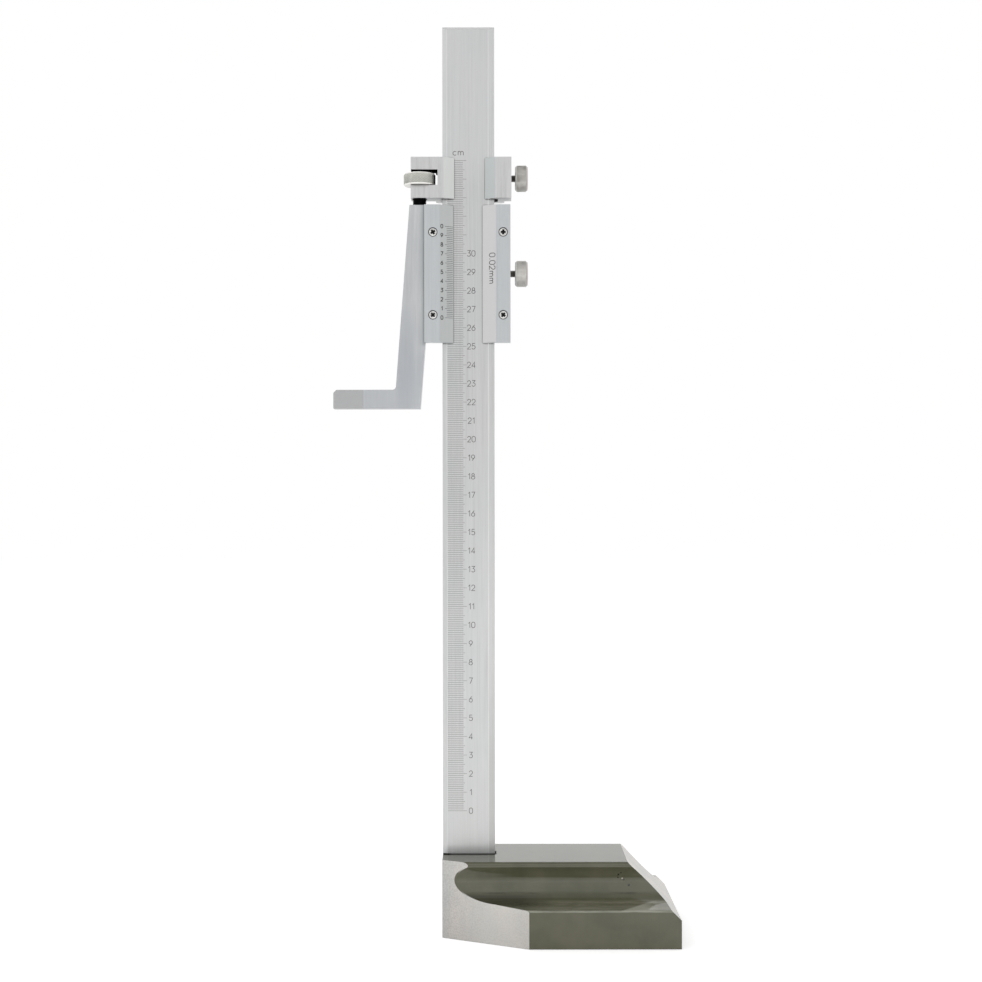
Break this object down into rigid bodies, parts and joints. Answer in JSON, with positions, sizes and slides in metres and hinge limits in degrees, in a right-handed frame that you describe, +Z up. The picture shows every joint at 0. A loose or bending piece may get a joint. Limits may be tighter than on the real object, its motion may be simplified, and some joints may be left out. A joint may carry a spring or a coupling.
{
  "type": "vernier height gauge",
  "caption": "Vernier height gauge: cast base with finger grooves, upright graduated beam, sliding vernier with stepped jaw, and a fine adjustment carriage with knurled nut and thumbscrews.",
  "frame": {"origin": "on the underside of the base, below the centre line of the beam", "axes": "+X along the base towards its far end, -Y towards the reader of the scale, +Z up along the beam"},
  "size_m": [0.1828, 0.08, 0.4869],
  "materials": {
    "enamel": "glossy olive grey enamel over cast iron, with bare machined slanted sides and far end",
    "beam_steel": "satin ground along the beam",
    "slider_steel": "satin ground",
    "plate_steel": "fine satin",
    "screw_steel": "bright plated",
    "black_oxide": "blackened",
    "nickel": "knurled and nickel plated",
    "bronze": "plain bronze strip"
  },
  "bodies": {
    "stand": {"base_casting": "enamel", "beam": "beam_steel", "beam_screws": "black_oxide"},
    "carriage": {"carriage_body": "slider_steel", "carriage_gib": "bronze"},
    "slider": {"slider_frame": "slider_steel", "vernier_plate": "plate_steel", "cover_plate": "plate_steel", "vernier_plate_screws": "screw_steel", "cover_plate_screws": "screw_steel", "slider_gib": "bronze", "gib_set_screws": "black_oxide", "adjusting_screw": "black_oxide"},
    "nut": {"adjusting_nut": "nickel"},
    "clamp_tip": {"clamp_pad": "bronze"},
    "clamp_thumbscrew": {"clamp_stud": "black_oxide", "clamp_knob": "nickel"},
    "lock_tip": {"lock_pad": "bronze"},
    "lock_thumbscrew": {"lock_stud": "black_oxide", "lock_knob": "nickel"}
  },
  "joints": [
    {"name": "carriage_slide", "type": "slide", "parent": "stand", "child": "carriage", "axis": [0, 0, 1], "range_m": [-0.2651, 0.0349]},
    {"name": "fine_adjustment", "type": "slide", "parent": "carriage", "child": "slider", "axis": [0, 0, 1], "range_m": [-0.005, 0.0032]},
    {"name": "nut_turn", "type": "hinge", "parent": "carriage", "child": "nut", "pos_m": [-0.02625, -0.0029, 0.4043], "axis": [0, 0, 1], "range_deg": [-1541, 2405]},
    {"name": "clamp_travel", "type": "slide", "parent": "carriage", "child": "clamp_tip", "axis": [1, 0, 0], "range_m": [0, 0.0007]},
    {"name": "clamp_turn", "type": "hinge", "parent": "clamp_tip", "child": "clamp_thumbscrew", "pos_m": [0.0255, -0.0012, 0.4054], "axis": [1, 0, 0], "range_deg": [0, 361]},
    {"name": "lock_travel", "type": "slide", "parent": "slider", "child": "lock_tip", "axis": [1, 0, 0], "range_m": [0, 0.0007]},
    {"name": "lock_turn", "type": "hinge", "parent": "lock_tip", "child": "lock_thumbscrew", "pos_m": [0.0255, -0.0012, 0.354], "axis": [1, 0, 0], "range_deg": [0, 361]}
  ],
  "couplings": [
    {"joint": "nut_turn", "follows": "fine_adjustment", "rad_per_m": -8377.6},
    {"joint": "clamp_turn", "follows": "clamp_travel", "rad_per_m": 8976},
    {"joint": "lock_turn", "follows": "lock_travel", "rad_per_m": 8976}
  ]
}
